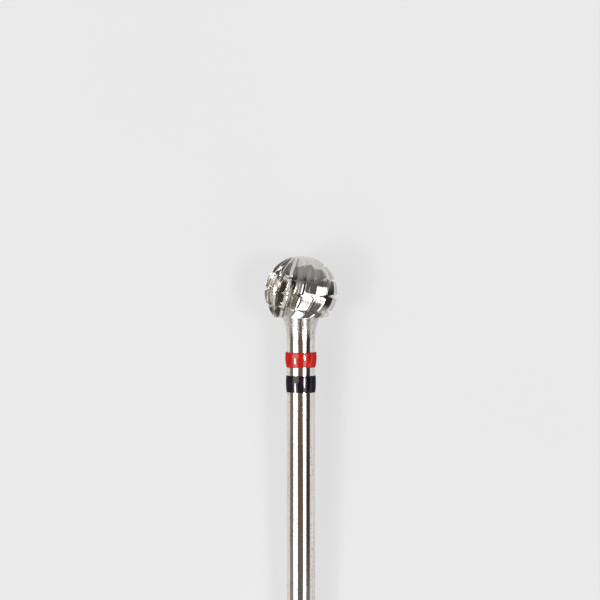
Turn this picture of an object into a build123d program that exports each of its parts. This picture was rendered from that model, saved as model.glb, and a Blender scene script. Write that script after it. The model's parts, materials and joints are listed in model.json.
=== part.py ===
# Ball-shaped carbide bit for an electric foot file, lying on a flat surface as it comes to rest.
# It touches the surface with two neighbouring teeth of the ball and with the rim of the shank's end.
# The tip points to +Y and +Z is up. Lengths are in millimetres, angles in degrees.

from build123d import *
from math import asin, atan2, cos, degrees, hypot, pi, radians, sin, tan
import os

# Overall sizes
overall_length = 44.5
ball_diameter = 6.0
base_cut = 0.95
shank_diameter = 2.35
tail_chamfer = 0.3

# Neck and brazed joint
neck_diameter = 3.08
neck_length = 1.5
spigot_diameter = 1.5
spigot_length = 1.6
spigot_chamfer = 0.2
braze_gap = 0.06

# Flutes: right-hand spirals, each ground by a wheel that follows a leaning circle
flute_count = 16
flute_depth = 0.56
flute_runout = 0.4
flute_dip = 0.05
flute_lean = 15.1
flute_offset = 0.953
flank_angle = 33.0
wheel_overrun = 0.75
wheel_lead_in = 92.0
wheel_lead_out = 62.0
crest_land = 0.05

# Chip breaker: one left-hand V groove that winds down the ball in linked half turns
breaker_depth = 0.33
breaker_angle = 60.0
breaker_overrun = 0.5
breaker_step = 13.65
breaker_start_latitude = 49.0
breaker_start_azimuth = 229.3
breaker_half_turns = 8

# Colour rings of enamel round the neck: each is thickest near its upper edge and thins out below
ring_setback = 2.9
red_ring_width = 1.24
red_ring_edge = 0.09
red_ring_height = 0.125
ring_gap = 0.69
black_ring_width = 1.37
black_ring_edge = 0.04
black_ring_height = 0.065
ring_crown_drop = 0.38
ring_thin_edge = 0.012
ring_groove_depth = 0.18

# Places along the tool, measured from the centre of the ball towards the tip
ball_radius = ball_diameter / 2
shank_radius = shank_diameter / 2
neck_radius = neck_diameter / 2
spigot_radius = spigot_diameter / 2
socket_radius = spigot_radius + braze_gap
base_z = base_cut - ball_radius
shoulder_z = base_z - braze_gap
flare_end_z = shoulder_z - neck_length
spigot_top_z = shoulder_z + spigot_length
socket_top_z = spigot_top_z + braze_gap
tail_z = ball_radius - overall_length
rim_z = tail_z + tail_chamfer
red_top_z = base_z - ring_setback
black_top_z = red_top_z - red_ring_width - ring_gap

# The crest of a tooth is the circle in which the ball meets the plane of the wheel's face
pitch_angle = 360 / flute_count
crest_slant = asin(flute_offset / ball_radius)
crest_ring_radius = ball_radius * cos(crest_slant)
lean = radians(flute_lean)
wheel_axis = Vector(cos(lean), 0, -sin(lean))
half_gap = (pitch_angle - degrees(crest_land / ball_radius)) / 2


def crest_turn(tilt):
    """Turn of a wheel whose crest passes under the ball's centre, when the tool lies at a tilt."""
    return pi + asin((sin(crest_slant) + sin(lean) * sin(tilt)) / (cos(lean) * cos(tilt)))


def crest_height(tilt):
    """Height of the ball's centre when the teeth on both sides of one gap carry it."""
    turn = crest_turn(tilt) - radians(half_gap)
    across = asin(sin(turn) * cos(lean) * cos(tilt) + sin(lean) * sin(tilt)) + crest_slant
    return ball_radius * cos(across)


# The tail's rim and the two crests settle the tilt, which settles the height a little
rim_reach = hypot(rim_z, shank_radius)
tilt = 0.0
for settling in range(4):
    rest_height = crest_height(tilt)
    tilt = asin(rest_height / rim_reach) - atan2(shank_radius, -rim_z)
roll = degrees(crest_turn(tilt)) - half_gap

# The tool's own axes: the ball's centre is the origin, the tip is along Z and -Y looks up
end_face_radius = shank_radius - tail_chamfer
rear_reach = end_face_radius * sin(tilt) - tail_z * cos(tilt)
tool = Plane(
    origin=(0, (rear_reach - ball_radius) / 2, rest_height),
    x_dir=(1, 0, 0),
    z_dir=(0, cos(tilt), sin(tilt)),
)
tool_axis = Axis(tool.origin, tool.z_dir)
profile_plane = Plane(origin=tool.origin, x_dir=tool.x_dir, z_dir=-tool.y_dir)
rolled_x = tool.x_dir.rotate(Axis((0, 0, 0), tool.z_dir), roll)
head_place = Plane(origin=tool.origin, x_dir=rolled_x, z_dir=tool.z_dir)


# One flute's cutter: a V ring about the wheel's axis, set back so that it runs out near the tip
wheel_radius = crest_ring_radius + flute_runout
wheel_up = Vector(0, -1, 0).cross(wheel_axis)
wheel_centre = wheel_axis * -flute_offset + Vector(0, flute_depth + flute_runout, 0) - wheel_up * flute_dip
wheel_start = Vector(0, -1, 0).rotate(Axis((0, 0, 0), wheel_axis), -wheel_lead_in)
wheel_edge = wheel_radius + wheel_overrun
with BuildPart() as flute_cutter:
    with BuildSketch(Plane(origin=wheel_centre, x_dir=wheel_start, z_dir=wheel_start.cross(wheel_axis))):
        with BuildLine():
            Polyline(
                (wheel_radius, 0),
                (wheel_edge, 0),
                (wheel_edge, wheel_overrun / tan(radians(flank_angle))),
                close=True,
            )
        make_face()
    revolve(axis=Axis(wheel_centre, wheel_axis), revolution_arc=wheel_lead_in + wheel_lead_out)


# The chip breaker's cutter: half rings, each tipped so that it ends lower, where the next one starts
breaker_reach = ball_radius + breaker_overrun
breaker_half_width = (breaker_depth + breaker_overrun) * tan(radians(breaker_angle / 2))
with BuildPart() as breaker_cutter:
    for half_turn in range(breaker_half_turns):
        azimuth = breaker_start_azimuth + 180 * half_turn
        latitude = radians(breaker_start_latitude - breaker_step * half_turn)
        outward = Vector(0, -1, 0).rotate(Axis.Z, azimuth)
        sideways = Vector(1, 0, 0).rotate(Axis.Z, azimuth)
        start_ray = outward * cos(latitude) + Vector(0, 0, sin(latitude))
        ring_axis = Vector(0, 0, 1).rotate(Axis((0, 0, 0), sideways), -breaker_step / 2)
        with BuildSketch(Plane(origin=(0, 0, 0), x_dir=start_ray, z_dir=-sideways)):
            with BuildLine():
                Polyline(
                    (ball_radius - breaker_depth, 0),
                    (breaker_reach, breaker_half_width),
                    (breaker_reach, -breaker_half_width),
                    close=True,
                )
            make_face()
        revolve(axis=Axis((0, 0, 0), ring_axis), revolution_arc=180)


# Cutting head: the carbide ball with its flat base and blind socket, then its flutes and chip breaker
base_angle = degrees(asin(base_z / ball_radius))
with BuildPart(head_place) as cutting_head:
    with BuildSketch(profile_plane):
        with BuildLine():
            rim = CenterArc((0, 0), ball_radius, base_angle, 90 - base_angle)
            Polyline(rim @ 1, (0, socket_top_z), (socket_radius, socket_top_z), (socket_radius, base_z), rim @ 0)
        make_face()
    revolve(axis=tool_axis)
    for flute in range(flute_count):
        with PolarLocations(0, 1, start_angle=flute * pitch_angle):
            add(flute_cutter.part, mode=Mode.SUBTRACT, clean=False)
    add(breaker_cutter.part, mode=Mode.SUBTRACT, clean=False)
cutting_head.part.label = "cutting_head"


def ring_section(top_z, width, edge, height):
    """Half section of an enamel band that fills its groove and stands proud of the shank."""
    floor_radius = shank_radius - ring_groove_depth
    bottom_z = top_z - width
    with BuildSketch(profile_plane) as section:
        with BuildLine():
            bulge = ThreePointArc(
                (shank_radius + edge, top_z),
                (shank_radius + height, top_z - ring_crown_drop),
                (shank_radius + ring_thin_edge, bottom_z),
            )
            Polyline(bulge @ 1, (floor_radius, bottom_z), (floor_radius, top_z), bulge @ 0)
        make_face()
    return section.sketch


# Colour rings: enamel bands in shallow turned grooves
with BuildPart() as red_ring:
    revolve(ring_section(red_top_z, red_ring_width, red_ring_edge, red_ring_height), axis=tool_axis)
red_ring.part.label = "red_ring"

with BuildPart() as black_ring:
    revolve(ring_section(black_top_z, black_ring_width, black_ring_edge, black_ring_height), axis=tool_axis)
black_ring.part.label = "black_ring"


# Shank: spigot, flared neck, straight shank with two ring grooves and a chamfered end, turned in one piece
with BuildPart() as shank:
    with BuildSketch(profile_plane):
        with BuildLine():
            Polyline(
                (0, spigot_top_z),
                (spigot_radius - spigot_chamfer, spigot_top_z),
                (spigot_radius, spigot_top_z - spigot_chamfer),
                (spigot_radius, shoulder_z),
                (neck_radius, shoulder_z),
            )
            flare = TangentArc((shank_radius, flare_end_z), (neck_radius, shoulder_z), tangent=(0, 1))
            Polyline(
                flare @ 0,
                (shank_radius, rim_z),
                (end_face_radius, tail_z),
                (0, tail_z),
                (0, spigot_top_z),
            )
        make_face()
    revolve(axis=tool_axis)
    add(red_ring.part, mode=Mode.SUBTRACT)
    add(black_ring.part, mode=Mode.SUBTRACT)
shank.part.label = "shank"


# Braze: the solder that fills the socket round the spigot and the gap under the ball
with BuildPart() as braze_joint:
    with BuildSketch(profile_plane):
        with BuildLine():
            Polyline(
                (0, socket_top_z),
                (socket_radius, socket_top_z),
                (socket_radius, base_z),
                (neck_radius, base_z),
                (neck_radius, shoulder_z),
                (0, shoulder_z),
                close=True,
            )
        make_face()
    revolve(axis=tool_axis)
    add(shank.part, mode=Mode.SUBTRACT)
braze_joint.part.label = "braze_joint"


os.makedirs("parts", exist_ok=True)
export_step(cutting_head.part, "parts/cutting_head.step")
export_step(braze_joint.part, "parts/braze_joint.step")
export_step(shank.part, "parts/shank.step")
export_step(red_ring.part, "parts/red_ring.step")
export_step(black_ring.part, "parts/black_ring.step")


plain_top_z = black_top_z - black_ring_width
plain_middle = tool_axis.position + tool_axis.direction * (plain_top_z + rim_z) / 2
print("the tool's tilt is", round(degrees(tilt), 4), "degrees and its ball's centre is at", tool.origin)
print("the plain shank is", round(plain_top_z - rim_z, 4), "long, with its middle at", plain_middle)
print("the tail points to", -tool.z_dir)
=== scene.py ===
import bpy
import json
import math
import numpy as np
from mathutils import Matrix, Vector


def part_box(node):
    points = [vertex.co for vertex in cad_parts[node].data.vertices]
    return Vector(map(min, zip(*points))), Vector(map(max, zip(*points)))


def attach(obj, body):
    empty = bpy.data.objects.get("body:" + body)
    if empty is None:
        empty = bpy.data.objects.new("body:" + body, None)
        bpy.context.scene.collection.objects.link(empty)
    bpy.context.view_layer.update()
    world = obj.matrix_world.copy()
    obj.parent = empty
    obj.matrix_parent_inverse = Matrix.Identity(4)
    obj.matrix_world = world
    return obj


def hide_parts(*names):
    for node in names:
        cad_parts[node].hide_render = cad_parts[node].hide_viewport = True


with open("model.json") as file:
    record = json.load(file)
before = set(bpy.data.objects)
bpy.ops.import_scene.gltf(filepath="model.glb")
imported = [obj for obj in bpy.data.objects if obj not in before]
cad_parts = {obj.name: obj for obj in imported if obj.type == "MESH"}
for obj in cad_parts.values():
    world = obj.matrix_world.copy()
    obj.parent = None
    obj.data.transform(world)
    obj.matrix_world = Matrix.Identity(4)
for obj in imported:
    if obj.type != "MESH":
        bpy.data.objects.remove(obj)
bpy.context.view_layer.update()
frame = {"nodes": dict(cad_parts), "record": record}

millimetre = 0.001


# Where the bit lies
bit = {
    "ballRadius": 3.0,
    "baseHeight": -2.05,  # flat underside of the ball
    "segments": 192,  # round each turned piece
}
mount = [m for m in frame["record"]["mounts"] if m["name"] == "shank"][0]
tipDirection = -Vector(mount["axis"]).normalized()
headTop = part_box("cutting_head")[1].y
mountPlace = Vector(mount["pos_m"])
along = (headTop - bit["ballRadius"] * millimetre - mountPlace.y) / tipDirection.y
ballCentre = mountPlace + tipDirection * along
sideways = Vector((1, 0, 0))
downwards = tipDirection.cross(sideways)
bitPlace = Matrix((
    (sideways.x, downwards.x, tipDirection.x, ballCentre.x),
    (sideways.y, downwards.y, tipDirection.y, ballCentre.y),
    (sideways.z, downwards.z, tipDirection.z, ballCentre.z),
    (0, 0, 0, 1),
))
print("the ball's centre is at", [round(c / millimetre, 4) for c in ballCentre], "mm")


# Shader helpers
class Wire:
    # a node's output socket, so that shader maths reads like plain maths
    def __init__(self, tree, socket):
        self.tree = tree
        self.socket = socket

    def maths(self, operation, first, second=None):
        node = self.tree.nodes.new("ShaderNodeMath")
        node.operation = operation
        for slot, value in zip(node.inputs, (first, second)):
            plug(self.tree, slot, value)
        return Wire(self.tree, node.outputs[0])

    def __add__(self, other):
        return self.maths("ADD", self, other)

    def __radd__(self, other):
        return self.maths("ADD", other, self)

    def __sub__(self, other):
        return self.maths("SUBTRACT", self, other)

    def __rsub__(self, other):
        return self.maths("SUBTRACT", other, self)

    def __mul__(self, other):
        return self.maths("MULTIPLY", self, other)

    def __rmul__(self, other):
        return self.maths("MULTIPLY", other, self)

    def __truediv__(self, other):
        return self.maths("DIVIDE", self, other)

    def size(self):
        return self.maths("ABSOLUTE", self)

    def clamped(self):
        return self.maths("MINIMUM", self.maths("MAXIMUM", self, 0.0), 1.0)

    def ramp(self, start, end):
        # 0 up to the start, 1 from the end on and smooth in between; the start may be the larger of the two
        share = ((self - start) / (end - start)).clamped()
        return share * share * (3.0 - 2.0 * share)


def plug(tree, socket, value):
    if isinstance(value, Wire):
        tree.links.new(value.socket, socket)
    elif value is not None:
        socket.default_value = value


class Look:
    # one node tree, of a material or of the world
    def __init__(self, owner):
        owner.use_nodes = True
        self.owner = owner
        self.tree = owner.node_tree
        self.tree.nodes.clear()

    def node(self, kind, settings, inputs, output=0):
        made = self.tree.nodes.new(kind)
        for name, value in settings.items():
            setattr(made, name, value)
        for name, value in inputs.items():
            plug(self.tree, made.inputs[name], value)
        return Wire(self.tree, made.outputs[output]) if len(made.outputs) else None

    def place(self):
        # the bit's own coordinates in millimetres
        return self.node("ShaderNodeAttribute", {"attribute_name": "place"}, {}, "Vector")

    def part(self, vector, letter):
        return self.node("ShaderNodeSeparateXYZ", {}, {"Vector": vector}, letter)

    def length(self, vector):
        return self.node("ShaderNodeVectorMath", {"operation": "LENGTH"}, {0: vector}, "Value")

    def noise(self, vector, scale, detail=2.0, rough=0.5):
        # the scale is one number, or one for each axis
        if isinstance(scale, tuple):
            vector = self.node("ShaderNodeVectorMath", {"operation": "MULTIPLY"}, {0: vector, 1: scale})
            scale = 1.0
        inputs = {"Vector": vector, "Scale": scale, "Detail": detail, "Roughness": rough}
        return self.node("ShaderNodeTexNoise", {"normalize": True}, inputs)

    def blend(self, share, first, second):
        # colours are red, green and blue, or a wire
        first, second = (c if isinstance(c, Wire) else (*c, 1.0) for c in (first, second))
        return self.node("ShaderNodeMix", {"data_type": "RGBA"}, {0: share, 6: first, 7: second}, 2)

    def bump(self, height, distance, normal=None):
        inputs = {"Strength": 1.0, "Distance": distance, "Height": height, "Normal": normal}
        return self.node("ShaderNodeBump", {}, inputs)

    def surface(self, inputs):
        shader = self.node("ShaderNodeBsdfPrincipled", {}, inputs)
        self.node("ShaderNodeOutputMaterial", {}, {"Surface": shader})
        return self.owner


def newLook(name):
    return Look(bpy.data.materials.new(name))


# Mesh helpers
def newPiece(name, points, faces, material, stoodFor):
    # the points are in the bit's own coordinates
    mesh = bpy.data.meshes.new(name)
    mesh.from_pydata([bitPlace @ (Vector(point) * millimetre) for point in points], [], faces)
    mesh.shade_smooth()
    mesh.materials.append(material)
    places = mesh.attributes.new("place", "FLOAT_VECTOR", "POINT")
    places.data.foreach_set("vector", np.asarray(points, np.float32).ravel())
    piece = bpy.data.objects.new(name, mesh)
    bpy.context.scene.collection.objects.link(piece)
    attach(piece, "root")
    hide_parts(stoodFor)
    return piece


def turned(profile, waver=None):
    # a surface of revolution; each profile point is radius, height and whether its edge is sharp
    segments = bit["segments"]
    points, rows, faces, sharp = [], [], [], set()
    for radius, height, corner in profile:
        if radius == 0:
            rows.append([len(points)] * segments)
            points.append((0, 0, height))
            continue
        row = []
        for turn in range(segments):
            angle = 2 * math.pi * turn / segments
            r, h = (radius, height) if waver is None else waver(angle, radius, height)
            row.append(len(points))
            points.append((r * math.sin(angle), -r * math.cos(angle), h))
        if corner:
            sharp.update(frozenset((row[turn], row[turn - 1])) for turn in range(segments))
        rows.append(row)
    for upper, lower in zip(rows, rows[1:]):
        for turn in range(segments):
            corners = (upper[turn - 1], lower[turn - 1], lower[turn], upper[turn])
            faces.append([p for n, p in enumerate(corners) if p not in corners[:n]])
    return points, faces, sharp


def markSharp(piece, sharp):
    for edge in piece.data.edges:
        edge.use_edge_sharp = frozenset(edge.vertices) in sharp


def arcThrough(first, middle, last, count):
    # points on the arc from the first point through the middle one to the last
    (ax, ay), (bx, by), (cx, cy) = first, middle, last
    a, b, c = ax * ax + ay * ay, bx * bx + by * by, cx * cx + cy * cy
    twice = 2 * (ax * (by - cy) + bx * (cy - ay) + cx * (ay - by))
    x = (a * (by - cy) + b * (cy - ay) + c * (ay - by)) / twice
    y = (a * (cx - bx) + b * (ax - cx) + c * (bx - ax)) / twice
    start, end = math.atan2(ay - y, ax - x), math.atan2(cy - y, cx - x)
    radius = math.hypot(ax - x, ay - y)
    steps = [start + (end - start) * n / count for n in range(count + 1)]
    return [(x + radius * math.cos(s), y + radius * math.sin(s)) for s in steps]


# Carbide of the ball: ground facets with grinding lines along each flute, painted shade along each flute's
# bottom and a painted glint along each crest
carbide = {
    "bright": (0.80, 0.785, 0.755),
    "dark": (0.47, 0.455, 0.43),
    "contrast": (0.36, 0.62),
    "warmTint": (0.70, 0.61, 0.52),
    "warmShare": 0.45,
    "coolTint": (0.56, 0.61, 0.66),
    "coolShare": 0.40,
    "tintFrom": (0.55, 0.75),  # noise values between which a tint comes in
    "fineLines": (16.0, 0.5, 7.3),  # how close they lie across a flute, along it and from facet to facet
    "broadLines": (4.0, 0.35, 3.9),
    "fineShare": 0.6,
    "facetTones": (0.35, 0.12, 5.1),
    "patches": 1.1,
    "polish": (2.3, 1.3),  # above the first height the tip is polished, below the second it isn't
    "linesAtTip": 0.3,
    "roughness": 0.035,
    "lineRoughness": 0.09,
    "roughFrom": (0.2, 0.8),  # noise values of the patches between which the lines roughen
    "lineDepth": 4e-6,
    "waveDepth": 0.8e-5,
    "crestWidth": 0.06,  # of the rounded edge beside each crest, in millimetres
    "crestDepth": 2e-5,
    # how far the colour is lifted to bright along each crest: a painted glint
    "crestPaintedGlint": 0.6,
    "rootWidth": (0.11, 0.02),  # the painted shade along the bottom of each flute, which is also rougher there, fades in from one to the other
    "rootShadeColour": (0.13, 0.11, 0.09),
    "rootEven": 0.45,  # what of the root is even, and what follows the fine lines
    "rootGrain": 0.9,
    "rootSurfaces": (1.2, 1.8),  # surfaces numbered above these have roots; the ball and its base don't
    "rootAtTip": 0.10,
    "rootBelow": 0.24,  # what the painted shade's share gains away from the tip
    "rootRoughness": 0.25,
}


def makeCarbide():
    look = newLook("ground_carbide")
    ground = look.node("ShaderNodeAttribute", {"attribute_name": "grind"}, {}, "Vector")
    place = look.place()
    fine = look.noise(ground, carbide["fineLines"], detail=4.0, rough=0.65)
    broad = look.noise(ground, carbide["broadLines"])
    facets = look.noise(ground, carbide["facetTones"], detail=1.0)
    patches = look.noise(place, carbide["patches"], detail=3.0, rough=0.6)
    # the grinding lines fade out towards the tip
    away = look.part(place, "Z").ramp(*carbide["polish"])
    faded = carbide["linesAtTip"] + (1 - carbide["linesAtTip"]) * away
    mixed = fine * carbide["fineShare"] + broad * (1 - carbide["fineShare"])
    lines = 0.5 + (mixed - 0.5) * faded
    colour = look.blend(lines.ramp(*carbide["contrast"]), carbide["dark"], carbide["bright"])
    warm = facets.ramp(*carbide["tintFrom"]) * carbide["warmShare"]
    cool = patches.ramp(*carbide["tintFrom"]) * carbide["coolShare"]
    colour = look.blend(warm, colour, carbide["warmTint"])
    colour = look.blend(cool, colour, carbide["coolTint"])
    edge = look.length(place).ramp(bit["ballRadius"] - carbide["crestWidth"], bit["ballRadius"])
    # painted glint: the colour is lifted to bright along each crest's rounded edge
    colour = look.blend(edge * carbide["crestPaintedGlint"], colour, carbide["bright"])
    # painted shade along the bottom of each flute: the colour darkens in the hollow where shade falls; the
    # extra roughness there is the surface's own
    grain = carbide["rootEven"] + fine * carbide["rootGrain"]
    root = look.part(ground, "X").ramp(*carbide["rootWidth"]) * grain
    root = (root * look.part(ground, "Z").ramp(*carbide["rootSurfaces"])).clamped()
    rootShadeShare = root * (carbide["rootAtTip"] + carbide["rootBelow"] * away)
    colour = look.blend(rootShadeShare, colour, carbide["rootShadeColour"])
    lineRoughness = carbide["lineRoughness"] * fine * patches.ramp(*carbide["roughFrom"])
    normal = look.bump(1 - edge, carbide["crestDepth"], look.bump(broad * away, carbide["waveDepth"]))
    return look.surface({
        "Base Color": colour,
        "Metallic": 1.0,
        "Roughness": carbide["roughness"] + lineRoughness + root * carbide["rootRoughness"],
        "Normal": look.bump(fine * away, carbide["lineDepth"], normal),
    })


# Steel of the shank: ground round and polished, with a turned, speckled neck
steel = {
    "bright": (0.87, 0.86, 0.84),
    "dark": (0.66, 0.63, 0.59),
    "contrast": (0.32, 0.68),
    "brownTint": (0.84, 0.63, 0.55),
    "brownShare": 0.4,
    "brownFrom": (0.50, 0.62),  # noise values between which the tint comes in
    "blueTint": (0.58, 0.64, 0.70),
    "blueShare": 0.3,
    "blueFrom": (0.48, 0.38),
    "streaks": (5.0, 5.0, 0.16),  # how close they lie, two ways across the shank and along it
    "ringLines": (0.25, 0.25, 16.0),
    "ringShare": 0.25,
    "smudges": (0.5, 0.5, 0.22),
    "speckles": (7.0, 7.0, 10.0),
    "tints": (2.6, 2.6, 0.45),
    "specks": 7.0,
    "speck": (0.16, 0.13, 0.11),
    "speckShare": 0.8,
    "speckFrom": (0.62, 0.67),
    "speckedFrom": (0.40, 0.55),  # noise values of the smudges between which specks appear
    "neck": (-4.3, -3.2),  # the neck's finish comes in between these two heights
    "neckContrast": 1.6,
    "neckDull": (0.50, 0.465, 0.42),
    "neckDullShare": 0.8,
    "neckDullFrom": (0.35, 0.62),
    "neckDepth": 2.2e-5,
    "roughness": 0.09,
    "streakRoughness": 0.06,
    "roughFrom": (0.45, 0.75),
    "evenRoughness": 0.4,
    "ringDepth": 0.6e-6,
    "streakDepth": 0.5e-6,
}


def makeSteel():
    look = newLook("ground_steel")
    place = look.place()
    streaks = look.noise(place, steel["streaks"], detail=4.0, rough=0.6)
    ringLines = look.noise(place, steel["ringLines"], detail=3.0, rough=0.6)
    smudges = look.noise(place, steel["smudges"], detail=3.0, rough=0.6)
    speckles = look.noise(place, steel["speckles"], detail=3.0, rough=0.6)
    neck = look.part(place, "Z").ramp(*steel["neck"])
    specks = look.noise(place, steel["specks"], detail=1.0).ramp(*steel["speckFrom"])
    specks = specks * smudges.ramp(*steel["speckedFrom"])
    share = streaks * (1 - steel["ringShare"]) + ringLines * steel["ringShare"]
    share = share.ramp(*steel["contrast"])
    share = (share + neck * (speckles - 0.5) * steel["neckContrast"]).clamped()
    colour = look.blend(share, steel["dark"], steel["bright"])
    tints = look.noise(place, steel["tints"], detail=3.0, rough=0.7)
    colour = look.blend(tints.ramp(*steel["brownFrom"]) * steel["brownShare"], colour, steel["brownTint"])
    colour = look.blend(tints.ramp(*steel["blueFrom"]) * steel["blueShare"], colour, steel["blueTint"])
    dulled = (neck * speckles.ramp(*steel["neckDullFrom"]) * steel["neckDullShare"]).clamped()
    colour = look.blend(dulled, colour, steel["neckDull"])
    colour = look.blend(specks * steel["speckShare"], colour, steel["speck"])
    smudged = steel["streakRoughness"] * smudges.ramp(*steel["roughFrom"])
    smudged = smudged * (steel["evenRoughness"] + streaks)
    normal = look.bump(streaks, steel["streakDepth"], look.bump(ringLines, steel["ringDepth"]))
    return look.surface({
        "Base Color": colour,
        "Metallic": 1.0,
        "Roughness": steel["roughness"] + smudged,
        "Normal": look.bump(neck * speckles, steel["neckDepth"], normal),
    })


# Silver solder: the film round the spigot and the thin line under the ball
solder = {
    "bright": (0.86, 0.83, 0.76),
    "dark": (0.62, 0.58, 0.50),
    "grains": 9.0,
    "contrast": (0.35, 0.65),
    "grainDepth": 4e-6,
    "roughness": 0.22,
    "grainRoughness": 0.18,
    "film": 0.06,  # its thickness
    "bulge": 0.012,  # how far it stands out just under the ball
    "hollow": 0.022,  # how far its face is drawn in halfway down
}


def makeSolder():
    look = newLook("silver_solder")
    grains = look.noise(look.place(), solder["grains"], detail=3.0)
    return look.surface({
        "Base Color": look.blend(grains.ramp(*solder["contrast"]), solder["dark"], solder["bright"]),
        "Metallic": 1.0,
        "Roughness": solder["roughness"] + solder["grainRoughness"] * grains,
        "Normal": look.bump(grains, solder["grainDepth"]),
    })


# Enamel of the two colour rings, with each ring's place and section
redEnamel = {
    "name": "red_enamel",
    "top": -4.95,
    "width": 1.24,
    "edge": 0.09,  # how far the upper edge stands out
    "height": 0.125,  # how far the crown stands out
    "deep": (0.34, 0.005, 0.002),
    "full": (0.465, 0.010, 0.002),
    "coatIor": 1.75,
    "coatRoughness": 0.02,
    "waveDepth": 4.5e-5,
    "pitDepth": 0.9e-5,
}
blackEnamel = {
    "name": "black_enamel",
    "top": -6.88,
    "width": 1.37,
    "edge": 0.04,
    "height": 0.065,
    "deep": (0.004, 0.003, 0.006),
    "full": (0.008, 0.006, 0.011),
    "coatIor": 1.6,
    "coatRoughness": 0.08,
    "waveDepth": 3.5e-5,
    "pitDepth": 2.4e-5,
}
enamels = {
    "coat": 0.95,
    "sides": (0.14, 0.42),  # how far side-on the coat starts to dull, and where it is dullest
    "sideLoss": 0.85,
    "thinEdges": (0.36, 0.52),  # shares of the width, from the middle, where the colour thins out
    "thinLoss": 0.75,
    "clouds": 1.6,
    "contrast": (0.25, 0.7),
    "pits": 6.0,
    "waves": (1.6, 1.6, 1.1),
    "roughness": 0.34,
    "pitRoughness": 0.2,
}


def makeEnamel(enamel):
    look = newLook(enamel["name"])
    place = look.place()
    fromMiddle = (look.part(place, "Z") - (enamel["top"] - enamel["width"] / 2)).size()
    thinFrom, thinTo = (share * enamel["width"] for share in enamels["thinEdges"])
    clouds = look.noise(place, enamels["clouds"], detail=3.0).ramp(*enamels["contrast"])
    share = (clouds * (1 - enamels["thinLoss"] * fromMiddle.ramp(thinFrom, thinTo))).clamped()
    pits = look.noise(place, enamels["pits"], detail=2.5)
    waves = look.noise(place, enamels["waves"], detail=1.0)
    sideOn = look.node("ShaderNodeLayerWeight", {}, {"Blend": 0.5}, "Facing").ramp(*enamels["sides"])
    return look.surface({
        "Base Color": look.blend(share, enamel["deep"], enamel["full"]),
        "Roughness": enamels["roughness"] + enamels["pitRoughness"] * pits,
        "Specular IOR Level": 0.0,
        "Coat Weight": enamels["coat"] * (1 - enamels["sideLoss"] * sideOn),
        "Coat Roughness": enamel["coatRoughness"],
        "Coat IOR": enamel["coatIor"],
        "Normal": look.bump(pits, enamel["pitDepth"], look.bump(waves, enamel["waveDepth"])),
    })


# Cutting head: the CAD facets with the true normals of their ground surfaces
head = {
    "roll": 189.164,  # how far the head is turned about the bit's axis where it rests
    "flutes": 16,
    "fluteDepth": 0.56,
    "runout": 0.4,
    "dip": 0.05,
    "lean": 15.1,
    "offset": 0.953,
    "flankAngle": 33.0,
    "breakerDepth": 0.33,
    "breakerAngle": 60.0,
    "breakerStep": 13.65,
    "breakerStartLatitude": 49.0,
    "breakerStartAzimuth": 229.3,
    "breakerHalfTurns": 8,
    "softFrom": 0.9,  # height above the ball's centre where the polish starts
    "softTo": 2.1,
    "softening": 0.36,
    "joinWithin": 2e-8,  # points of the CAD mesh this near each other are one, in metres
    "fitWithin": 0.03,  # a facet this near a ground surface may belong to it
    "facing": 0.8,  # when it also faces as that surface does, at least this well
    "cutterSlack": 0.02,  # how far past a cutter's edge its surface still counts
    "turnSlack": 0.08,  # how far past its ends a half ring still counts, in radians
}
zAxis = (0, 0, 1)
farOff = 9.0  # a distance at which no facet fits


def turnAbout(vectors, axis, degrees):
    # vectors turned about an axis through the origin, by the right-hand rule
    axis = np.asarray(axis, float)
    angle = math.radians(degrees)
    c, s = math.cos(angle), math.sin(angle)
    vectors = np.asarray(vectors, float)
    alongAxis = np.outer(vectors @ axis, axis).reshape(vectors.shape)
    return vectors * c + np.cross(axis, vectors) * s + alongAxis * (1 - c)


# each ground surface is a function of points in the head's own turn
# it gives their distances off it, its normals there, and their places across and along it
def flutePair(number):
    lean, flank = math.radians(head["lean"]), math.radians(head["flankAngle"])
    wheelAxis = np.array((math.cos(lean), 0, -math.sin(lean)))
    crestRing = bit["ballRadius"] * math.cos(math.asin(head["offset"] / bit["ballRadius"]))
    wheelRadius = crestRing + head["runout"]
    wheelUp = np.cross((0, -1, 0), wheelAxis)
    wheelDrop = np.array((0, head["fluteDepth"] + head["runout"], 0))
    wheelCentre = wheelAxis * -head["offset"] + wheelDrop - wheelUp * head["dip"]
    turn = number * 360 / head["flutes"]

    def measure(points, isFlank):
        local = turnAbout(points, zAxis, -turn) - wheelCentre
        v = local @ wheelAxis
        arms = local - np.outer(v, wheelAxis)
        u = np.linalg.norm(arms, axis=1)
        outward = arms / u[:, None]
        past = u - wheelRadius
        if isFlank:
            off = np.abs(past * math.cos(flank) - v * math.sin(flank))
            normals = outward * math.cos(flank) - wheelAxis * math.sin(flank)
        else:
            off = np.abs(v)
            normals = np.broadcast_to(wheelAxis, outward.shape)
        off = np.where(past < -head["cutterSlack"], farOff, off)
        run = np.arctan2(outward @ wheelUp, outward @ np.array((0, -1, 0))) * wheelRadius
        return off, turnAbout(normals, zAxis, turn), np.hypot(past, v), run

    return [lambda points: measure(points, True), lambda points: measure(points, False)]


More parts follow.
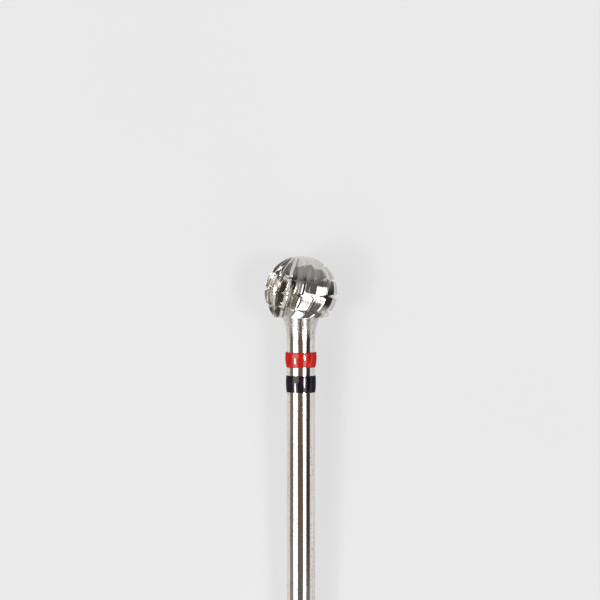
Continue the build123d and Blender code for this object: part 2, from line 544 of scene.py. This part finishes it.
def breakerPair(number):
    azimuth = head["breakerStartAzimuth"] + 180 * number
    latitude = math.radians(head["breakerStartLatitude"] - head["breakerStep"] * number)
    outwards = turnAbout((0, -1, 0), zAxis, azimuth)
    across = turnAbout((1, 0, 0), zAxis, azimuth)
    startRay = outwards * math.cos(latitude) + np.array((0, 0, math.sin(latitude)))
    ringAxis = turnAbout(zAxis, across, -head["breakerStep"] / 2)
    half = math.radians(head["breakerAngle"] / 2)
    floorRadius = bit["ballRadius"] - head["breakerDepth"]
    # the V stands square to the ball, so away from the ball's equator a half ring is part of a cone
    slope = math.asin(startRay @ ringAxis)
    startArm = startRay - ringAxis * math.sin(slope)

    def measure(points, side):
        height = points @ ringAxis
        arms = points - np.outer(height, ringAxis)
        width = np.linalg.norm(arms, axis=1)
        arms = arms / width[:, None]
        reach = width * math.cos(slope) + height * math.sin(slope)
        rise = height * math.cos(slope) - width * math.sin(slope)
        outward = arms * math.cos(slope) + ringAxis * math.sin(slope)
        upward = ringAxis * math.cos(slope) - arms * math.sin(slope)
        off = np.abs((reach - floorRadius) * math.sin(half) - side * rise * math.cos(half))
        turn = np.arctan2(arms @ np.cross(ringAxis, startArm), arms @ startArm)
        wrongHalf = (turn < -head["turnSlack"]) & (turn > -math.pi + head["turnSlack"])
        off = np.where(wrongHalf | (reach < floorRadius - head["cutterSlack"]), farOff, off)
        normals = outward * math.sin(half) - upward * side * math.cos(half)
        return off, normals, np.hypot(reach - floorRadius, rise), turn * bit["ballRadius"]

    return [lambda points: measure(points, 1), lambda points: measure(points, -1)]


def ballSurface(points):
    reach = np.linalg.norm(points, axis=1)
    return np.abs(reach - bit["ballRadius"]), points / reach[:, None], points[:, 2], np.zeros(len(points))


def baseSurface(points):
    normals = np.tile((0.0, 0.0, -1.0), (len(points), 1))
    off = np.abs(points[:, 2] - bit["baseHeight"])
    return off, normals, np.hypot(points[:, 0], points[:, 1]), np.zeros(len(points))


def groundSurfaces():
    surfaces = [ballSurface, baseSurface]
    for number in range(head["flutes"]):
        surfaces += flutePair(number)
    for number in range(head["breakerHalfTurns"]):
        surfaces += breakerPair(number)
    return surfaces


def joinedFacets():
    # the CAD mesh splits its points at each face, so points at one place become one
    cad = frame["nodes"]["cutting_head"].data
    points = np.array([v.co for v in cad.vertices], float)
    cad.calc_loop_triangles()
    triangles = np.array([t.vertices for t in cad.loop_triangles], int)
    steps = np.round(points / head["joinWithin"]).astype(np.int64)
    keys, back = np.unique(steps, axis=0, return_inverse=True)
    joined = np.zeros((len(keys), 3))
    joined[back.ravel()] = points
    triangles = back.ravel()[triangles]
    a, b, c = triangles.T
    return joined, triangles[(a != b) & (b != c) & (c != a)]


def groundFinish(corners):
    # each corner's normal, and its place across and along its surface with that surface's number
    flat = np.cross(corners[:, 1] - corners[:, 0], corners[:, 2] - corners[:, 0])
    flat /= np.maximum(np.linalg.norm(flat, axis=1), 1e-12)[:, None]
    best = np.full(len(corners), head["fitWithin"])
    kind = np.full(len(corners), -1)
    surfaces = groundSurfaces()
    for number, measure in enumerate(surfaces):
        off = np.max([measure(corners[:, n])[0] for n in range(3)], axis=0)
        facing = np.sum(measure(corners.mean(1))[1] * flat, axis=1)
        closer = (off < best) & (facing > head["facing"])
        best[closer] = off[closer]
        kind[closer] = number
    normals = np.repeat(flat[:, None, :], 3, axis=1)
    grind = np.zeros((len(corners), 3, 3))
    for number, measure in enumerate(surfaces):
        mine = kind == number
        if not mine.any():
            continue
        for n in range(3):
            off, exact, across, run = measure(corners[mine, n])
            normals[mine, n] = exact
            grind[mine, n] = np.stack((across, run, np.full(len(across), float(number))), axis=1)
    print("cutting head:", len(corners), "facets,", int((kind < 0).sum()), "of them without a ground surface")
    # polish has softened the shallow ends of the flutes round the tip
    sphere = corners / np.linalg.norm(corners, axis=2)[:, :, None]
    share = np.clip((corners[:, :, 2] - head["softFrom"]) / (head["softTo"] - head["softFrom"]), 0, 1)
    share = (head["softening"] * share * share * (3 - 2 * share))[:, :, None]
    softened = normals * (1 - share) + sphere * share
    return softened / np.linalg.norm(softened, axis=2)[:, :, None], grind


def makeHead(material):
    joined, triangles = joinedFacets()
    inverse = np.array(bitPlace.inverted())
    local = (joined @ inverse[:3, :3].T + inverse[:3, 3]) / millimetre
    normals, grind = groundFinish(turnAbout(local, zAxis, -head["roll"])[triangles])
    facets = triangles.tolist()
    piece = newPiece("cutting_head_ground", local.tolist(), facets, material, "cutting_head")
    layer = piece.data.attributes.new("grind", "FLOAT_VECTOR", "CORNER")
    layer.data.foreach_set("vector", grind.astype(np.float32).ravel())
    inBit = turnAbout(normals.reshape(-1, 3), zAxis, head["roll"])
    piece.data.normals_split_custom_set((inBit @ np.array(bitPlace)[:3, :3].T).tolist())


# Shank: spigot, flared neck, two ring grooves, straight shank and chamfered end
shank = {
    "radius": 1.175,
    "spigotRadius": 0.75,
    "spigotTop": -0.51,
    "spigotChamfer": 0.2,
    "shoulder": -2.11,
    "neckRadius": 1.54,
    "flareEnd": -3.61,
    "flareSteps": 24,
    "grooveDepth": 0.18,
    "rim": -41.2,
    "tail": -41.5,
    "edgeBreak": 0.03,  # how far each edge of the end's chamfer is eased along its face
    "edgeInset": 0.009,
}


def makeShank(material):
    r, eased, inset = shank["radius"], shank["edgeBreak"], shank["edgeInset"]
    widening = shank["neckRadius"] - r
    rising = shank["shoulder"] - shank["flareEnd"]
    flareRadius = (widening ** 2 + rising ** 2) / (2 * widening)
    sweep = math.asin(rising / flareRadius)
    profile = [
        (0, shank["spigotTop"], False),
        (shank["spigotRadius"] - shank["spigotChamfer"], shank["spigotTop"], True),
        (shank["spigotRadius"], shank["spigotTop"] - shank["spigotChamfer"], True),
        (shank["spigotRadius"], shank["shoulder"], True),
        (shank["neckRadius"], shank["shoulder"], True),
    ]
    for n in range(1, shank["flareSteps"] + 1):
        angle = math.pi - sweep * (1 - n / shank["flareSteps"])
        radius = r + flareRadius + flareRadius * math.cos(angle)
        profile.append((radius, shank["flareEnd"] + flareRadius * math.sin(angle), False))
    deep = r - shank["grooveDepth"]
    for ring in (redEnamel, blackEnamel):
        upper, lower = ring["top"], ring["top"] - ring["width"]
        profile += [(r, upper, True), (deep, upper, True), (deep, lower, True), (r, lower, True)]
    end = r - (shank["rim"] - shank["tail"])
    profile += [
        (r, shank["rim"] + eased, False),
        (r - inset, shank["rim"], False),
        (end + inset, shank["tail"] + eased, False),
        (end - eased, shank["tail"], False),
        (0, shank["tail"], False),
    ]
    points, faces, sharp = turned(profile)
    markSharp(newPiece("shank_ground", points, faces, material, "shank"), sharp)


# Enamel rings: each bulges most near its upper edge and thins out below, with an uneven outline
rings = {
    "crownDrop": 0.38,
    "thinEdge": 0.012,
    "rounding": 0.035,  # of the upper edge
    "roundingSteps": ((1.0, 0.002), (0.3, 0.007)),  # shares of it inwards, each with how far down it lies
    "roundingEnd": 0.7,  # share of it, down the band, where the bulge takes over
    "lip": 0.002,  # how deep the band's edge lies under the steel's surface
    "edgeWaver": 0.028,
    "lumps": 0.010,
    "waveCounts": (1, 2, 3, 5, 8),
    "weakestWave": 0.3,
    "arcSteps": 24,
    "seed": 5,
}


def unevenness(draw):
    # a sum of a few sine waves round the band, between 0 and 1
    waves = [
        (count, draw.uniform(0, 2 * math.pi), draw.uniform(rings["weakestWave"], 1.0) / count ** 0.5)
        for count in rings["waveCounts"]
    ]
    total = sum(size for count, phase, size in waves)
    return lambda angle: 0.5 + 0.5 * sum(s * math.sin(n * angle + phase) for n, phase, s in waves) / total


def makeRing(name, enamel, stoodFor, seed):
    draw = np.random.default_rng(seed)
    upperWaver, lowerWaver, crownLumps, footLumps = (unevenness(draw) for n in range(4))
    r, soft, lip = shank["radius"], rings["rounding"], rings["lip"]
    top, bottom = enamel["top"], enamel["top"] - enamel["width"]
    deep = r - shank["grooveDepth"]
    brow = r + enamel["edge"]
    crown = (r + enamel["height"], top - rings["crownDrop"])
    section = arcThrough((brow, top), crown, (r + rings["thinEdge"], bottom), rings["arcSteps"])
    profile = [(deep, top, True), (r - lip, top, True)]
    profile += [(brow - inwards * soft, top - down, False) for inwards, down in rings["roundingSteps"]]
    bulgeTop = top - rings["roundingEnd"] * soft
    profile += [(radius, height, False) for radius, height in section if height < bulgeTop]
    profile += [(r - lip, bottom, True), (deep, bottom, True)]

    def waver(angle, radius, height):
        if radius == deep:
            return radius, height
        share = (top - height) / enamel["width"]
        lump = crownLumps(angle) * (1 - share) + footLumps(angle) * share - 0.5
        radius += rings["lumps"] * lump * 4 * share * (1 - share)
        shift = upperWaver(angle) * (1 - share) ** 3 - lowerWaver(angle) * share ** 3
        return radius, height + rings["edgeWaver"] * shift

    points, faces, sharp = turned(profile, waver)
    # the inner wall closes the band
    count = bit["segments"]
    last = len(points) - count
    faces += [[last + (n - 1) % count, (n - 1) % count, n, last + n] for n in range(count)]
    piece = newPiece(name, points, faces, makeEnamel(enamel), stoodFor)
    markSharp(piece, sharp)


def makeSolderFilm(material):
    inner, chamfer = shank["spigotRadius"], shank["spigotChamfer"]
    spigotTop, low = shank["spigotTop"], shank["shoulder"]
    neck, base = shank["neckRadius"], bit["baseHeight"]
    top, outer = spigotTop + solder["film"], inner + solder["film"]
    profile = [
        (0, top, False),
        (outer, top, True),
        (outer, base, True),
        (neck + solder["bulge"], base, True),
        (neck - solder["hollow"], (base + low) / 2, False),
        (neck, low, True),
        (inner, low, True),
        (inner, spigotTop - chamfer, True),
        (inner - chamfer, spigotTop, True),
        (0, spigotTop, False),
    ]
    points, faces, sharp = turned(profile)
    markSharp(newPiece("solder_film", points, faces, material, "braze_joint"), sharp)


makeHead(makeCarbide())
print("cutting head made")
makeShank(makeSteel())
print("shank made")
makeRing("red_band", redEnamel, "red_ring", rings["seed"])
makeRing("black_band", blackEnamel, "black_ring", rings["seed"] + 1)
print("colour rings made")
makeSolderFilm(makeSolder())
print("solder made")


# Table
table = {
    "side": 6.0,
    "pale": (0.150, 0.150, 0.151),
    "dull": (0.138, 0.138, 0.140),
    "contrast": (0.3, 0.7),
    "clouds": 22.0,
    "grain": 2600.0,
    "grainDepth": 1.5e-5,
    "grainShare": 0.15,
    "roughness": 0.75,
    "grainRoughness": 0.15,
    "shine": 0.2,
    "glow": 0.604,
}


def makeTable():
    look = newLook("pale_table")
    coordinates = look.node("ShaderNodeTexCoord", {}, {}, "Object")
    clouds = look.noise(coordinates, table["clouds"])
    grain = look.noise(coordinates, table["grain"], detail=3.0)
    share = clouds * (1 - table["grainShare"]) + grain * table["grainShare"]
    material = look.surface({
        "Base Color": look.blend(share.ramp(*table["contrast"]), table["dull"], table["pale"]),
        "Roughness": table["roughness"] + table["grainRoughness"] * grain,
        "Specular IOR Level": table["shine"],
        "Emission Color": (1.0, 1.0, 1.0, 1.0),
        "Emission Strength": table["glow"],
        "Normal": look.bump(grain, table["grainDepth"]),
    })
    half = table["side"] / 2
    mesh = bpy.data.meshes.new("table")
    corners = [(-half, -half, 0), (half, -half, 0), (half, half, 0), (-half, half, 0)]
    mesh.from_pydata(corners, [], [(0, 1, 2, 3)])
    mesh.materials.append(material)
    piece = bpy.data.objects.new("table", mesh)
    bpy.context.scene.collection.objects.link(piece)


makeTable()
print("table made")


# Camera: above the bit, turned a little about the bit's axis
view = {
    "turn": 10.85,  # degrees about the bit's axis
    "distance": 280.0,
    "frameHeight": 49.59,  # what the picture takes in at the bit, in millimetres
    "belowCentre": 0.64,
    "leftOfAxis": 0.0785,
    "sensor": 36.0,
}
viewTurn = math.radians(view["turn"])
towardsCamera = Vector((math.sin(viewTurn), 0, math.cos(viewTurn)))
pictureUp = (tipDirection - towardsCamera * tipDirection.dot(towardsCamera)).normalized()
pictureRight = pictureUp.cross(towardsCamera)
target = ballCentre - tipDirection * view["belowCentre"] * millimetre
target = target - pictureRight * view["leftOfAxis"] * millimetre
camera = bpy.data.objects.new("camera", bpy.data.cameras.new("camera"))
bpy.context.scene.collection.objects.link(camera)
camera.data.sensor_width = view["sensor"]
camera.data.lens = view["sensor"] * view["distance"] / view["frameHeight"]
camera.data.clip_start = 0.01
camera.data.clip_end = 20.0
camera.location = target + towardsCamera * view["distance"] * millimetre
camera.rotation_mode = "QUATERNION"
camera.rotation_quaternion = Matrix((pictureRight, pictureUp, towardsCamera)).transposed().to_quaternion()
bpy.context.scene.camera = camera


# Light: long softboxes on both sides of the camera, with a small bright lamp in front of each side
# in degrees, turns go about the bit's axis from the camera, and reaches along it from the picture's middle
softboxes = {
    "left_softbox": {"turns": (-64.0, -28.0), "reach": (-64.0, 32.0), "radiance": 1.9},
    "left_strip": {"turns": (-28.0, -20.0), "reach": (-3.4, 13.0), "radiance": 2.2},
    "right_lower": {"turns": (20.0, 42.5), "reach": (-64.0, -8.0), "radiance": 2.2},
    "right_middle": {"turns": (16.5, 42.5), "reach": (-8.0, -3.4), "radiance": 2.2},
    "right_upper": {"turns": (19.0, 42.5), "reach": (-3.4, 26.0), "radiance": 2.3},
}
lamps = {
    "left_lamp": {"turns": (-51.0, -41.0), "reach": (-22.0, -4.0), "radiance": 23.0},
    "right_lamp": {"turns": (23.0, 33.0), "reach": (-12.0, 5.0), "radiance": 24.0},
}
softboxDistance = 0.70
lampDistance = 0.64  # nearer than the softboxes, because lights in one plane hide each other
upright = (towardsCamera - tipDirection * tipDirection.dot(towardsCamera)).normalized()
acrossBit = tipDirection.cross(upright)


def makeLight(name, shape, distance, setting):
    first, last = (math.radians(t) for t in setting["turns"])
    start, end = (distance * math.tan(math.radians(t)) for t in setting["reach"])
    middle = (first + last) / 2
    back = upright * math.cos(middle) + acrossBit * math.sin(middle)
    width, height = 2 * distance * math.tan((last - first) / 2), end - start
    data = bpy.data.lights.new(name, "AREA")
    data.shape = shape
    data.size, data.size_y = width, height
    data.energy = setting["radiance"] * math.pi * width * height
    light = bpy.data.objects.new(name, data)
    bpy.context.scene.collection.objects.link(light)
    light.location = target + back * distance + tipDirection * (start + end) / 2
    light.rotation_mode = "QUATERNION"
    facing = Matrix((tipDirection.cross(back), tipDirection, back)).transposed()
    light.rotation_quaternion = facing.to_quaternion()
    light.visible_camera = False


for lightName, setting in softboxes.items():
    makeLight(lightName, "RECTANGLE", softboxDistance, setting)
for lightName, setting in lamps.items():
    makeLight(lightName, "ELLIPSE", lampDistance, setting)


# Room: dim tones all round, which the polished metal reflects
room = {
    "darkWarm": (0.180, 0.110, 0.072),  # round the camera
    "darkCool": (0.150, 0.115, 0.090),
    "darkRight": (0.045, 0.036, 0.033),  # above the table, to the right
    "dimWarm": (0.155, 0.148, 0.136),  # towards the tip
    "dimCool": (0.120, 0.126, 0.130),
    "behind": (0.17, 0.165, 0.158),  # towards the tail
    "behindRight": (0.64, 0.63, 0.61),
    "leftWall": (0.23, 0.185, 0.14),
    "leftCorners": (0.58, 0.57, 0.55),
    "beyondTip": (0.37, 0.37, 0.355),
    "seen": (0.84, 0.84, 0.83),  # where the camera looks past the table
    "mottling": 2.2,
    "contrast": (0.4, 0.6),
    "toAnEnd": (0.17, 0.42),  # where tones change, as a share of the direction that runs along the bit
    "toTheTip": (0.46, 0.86),
    "toTheTail": (-0.20, -0.42),
    "toTheRight": (0.60, 0.85),  # and as a share of the direction that runs to the right
    "toTheRightBehind": (0.72, 0.92),
    "toTheLeft": (-0.60, -0.92),
}


def makeRoom():
    world = bpy.data.worlds.new("room")
    bpy.context.scene.world = world
    look = Look(world)
    direction = look.node("ShaderNodeTexCoord", {}, {}, "Generated")
    mottling = look.noise(direction, room["mottling"], detail=3.0).ramp(*room["contrast"])
    dark = look.blend(mottling, room["darkWarm"], room["darkCool"])
    dim = look.blend(mottling, room["dimWarm"], room["dimCool"])
    lengthwise = look.part(direction, "Y")
    toAnEnd = lengthwise.size().ramp(*room["toAnEnd"])
    rightwards = look.part(direction, "X")
    dark = look.blend(rightwards.ramp(*room["toTheRight"]), dark, room["darkRight"])
    colour = look.blend(toAnEnd, dark, dim)
    behind = look.blend(rightwards.ramp(*room["toTheRightBehind"]), room["behind"], room["behindRight"])
    colour = look.blend(lengthwise.ramp(*room["toTheTail"]), colour, behind)
    leftSide = look.blend(toAnEnd, room["leftWall"], room["leftCorners"])
    colour = look.blend(rightwards.ramp(*room["toTheLeft"]), colour, leftSide)
    colour = look.blend(lengthwise.ramp(*room["toTheTip"]), colour, room["beyondTip"])
    seen = look.node("ShaderNodeLightPath", {}, {}, "Is Camera Ray")
    colour = look.blend(seen, colour, room["seen"])
    background = look.node("ShaderNodeBackground", {}, {"Color": colour})
    look.node("ShaderNodeOutputWorld", {}, {"Surface": background})


makeRoom()
bpy.context.scene.view_settings.view_transform = "Standard"
print("camera, lights and room made")
